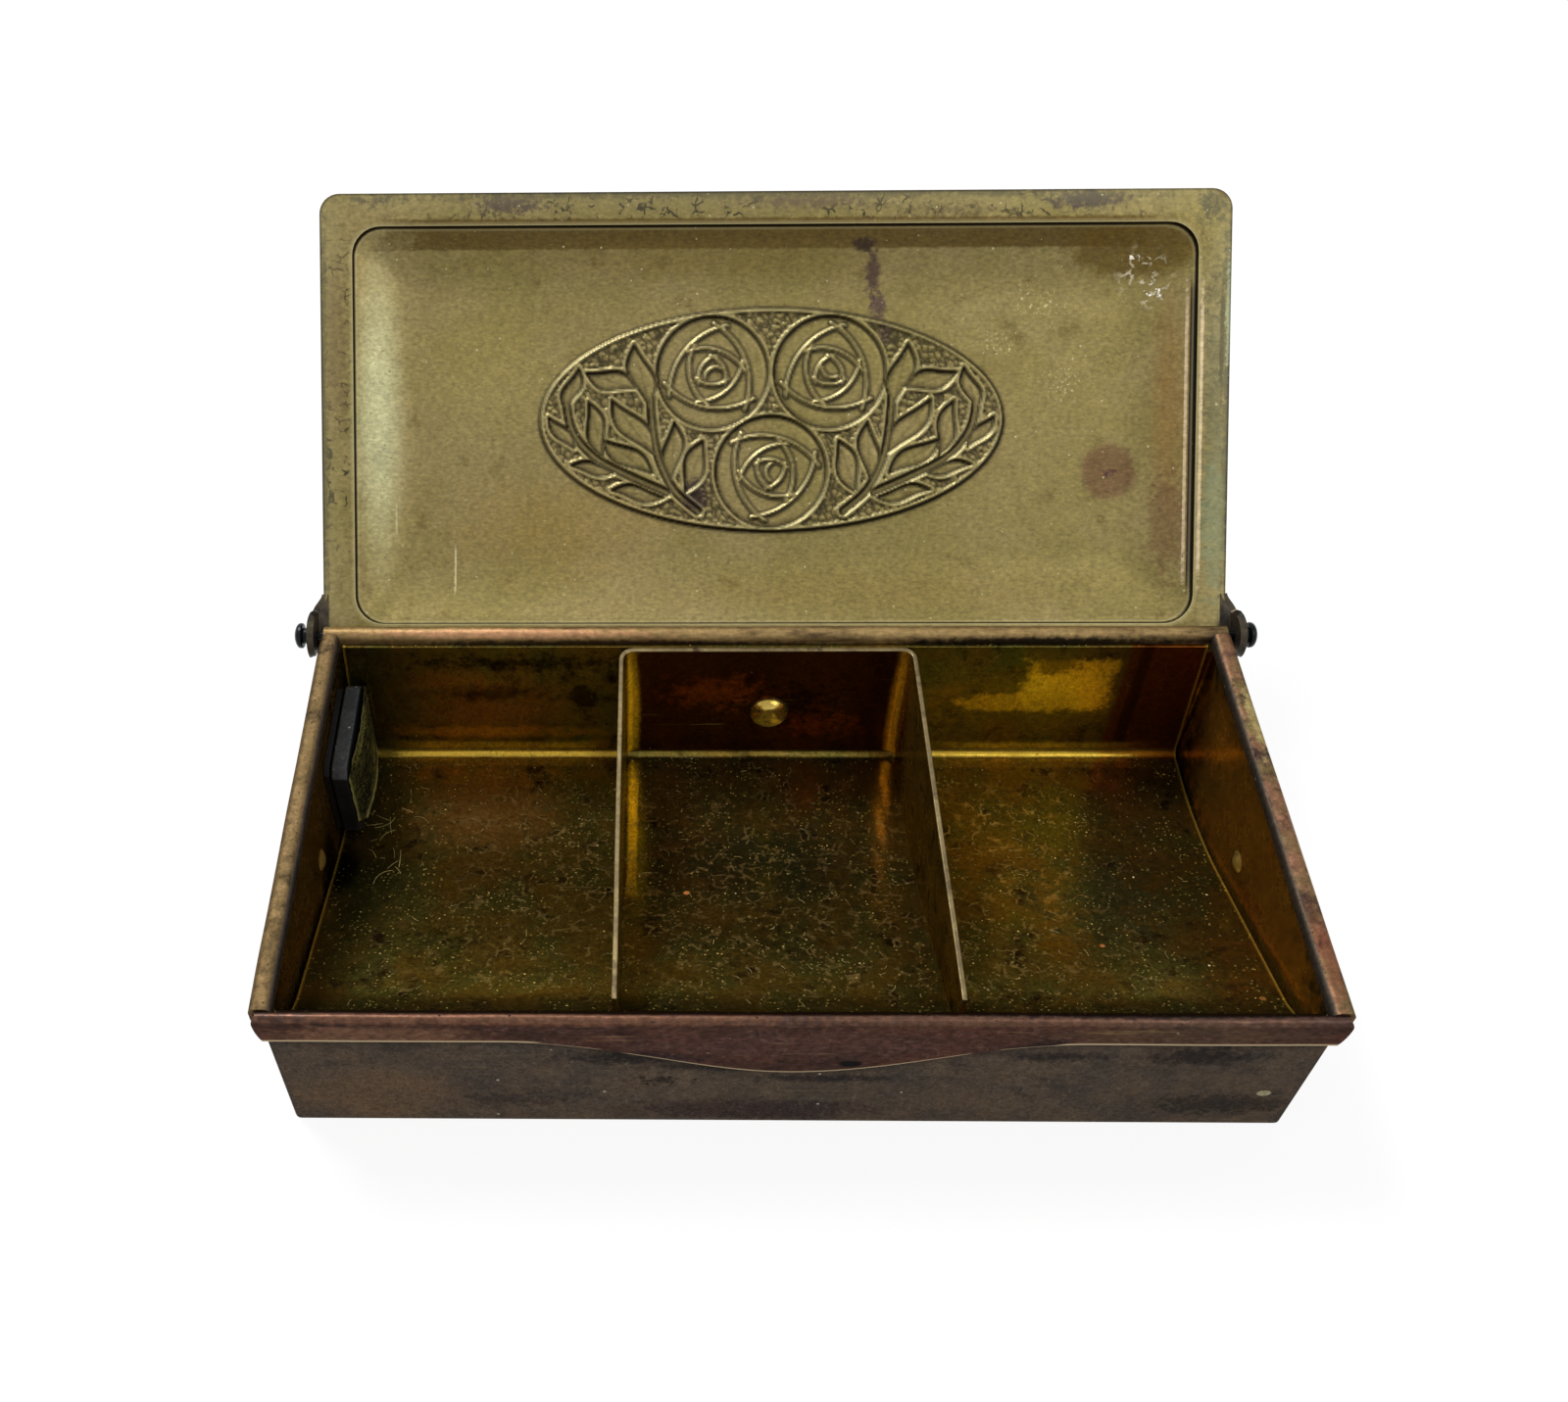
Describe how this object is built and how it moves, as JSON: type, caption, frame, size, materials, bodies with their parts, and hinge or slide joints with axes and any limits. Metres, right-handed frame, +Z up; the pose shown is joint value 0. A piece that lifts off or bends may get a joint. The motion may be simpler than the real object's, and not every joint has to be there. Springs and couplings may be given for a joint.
{
  "type": "stamp box",
  "caption": "Low rectangular sheet-brass box with a hinged embossed lid, a curved inner floor and a bent divider.",
  "frame": {"origin": "centre of the flat underside of the case", "axes": "+X to the right along the box, +Y towards the hinge, +Z up out of the box"},
  "size_m": [0.1208, 0.0968, 0.0599],
  "materials": {
    "brass_case": "satin, darkened brown by age",
    "brass_inside": "glossy, tarnished golden brown",
    "brass_lid": "satin, olive patina",
    "black_steel": "blued, semi-gloss",
    "black_rubber": "matt",
    "olive_felt": "frayed felt"
  },
  "bodies": {
    "case": {"case_body": "brass_case", "liner_tray": "brass_inside", "partition_strip": "brass_inside", "partition_rivet": "brass_inside", "hinge_rod": "black_steel", "hinge_head_left": "black_steel", "hinge_head_right": "black_steel", "pad_backing": "black_rubber", "pad_block": "black_rubber", "pad_facing": "olive_felt"},
    "lid": {"lid": "brass_lid"}
  },
  "joints": [
    {"name": "lid_hinge", "type": "hinge", "parent": "case", "child": "lid", "pos_m": [0, 0.02718, 0.02238], "axis": [1, 0, 0], "range_deg": [0, 136]}
  ]
}
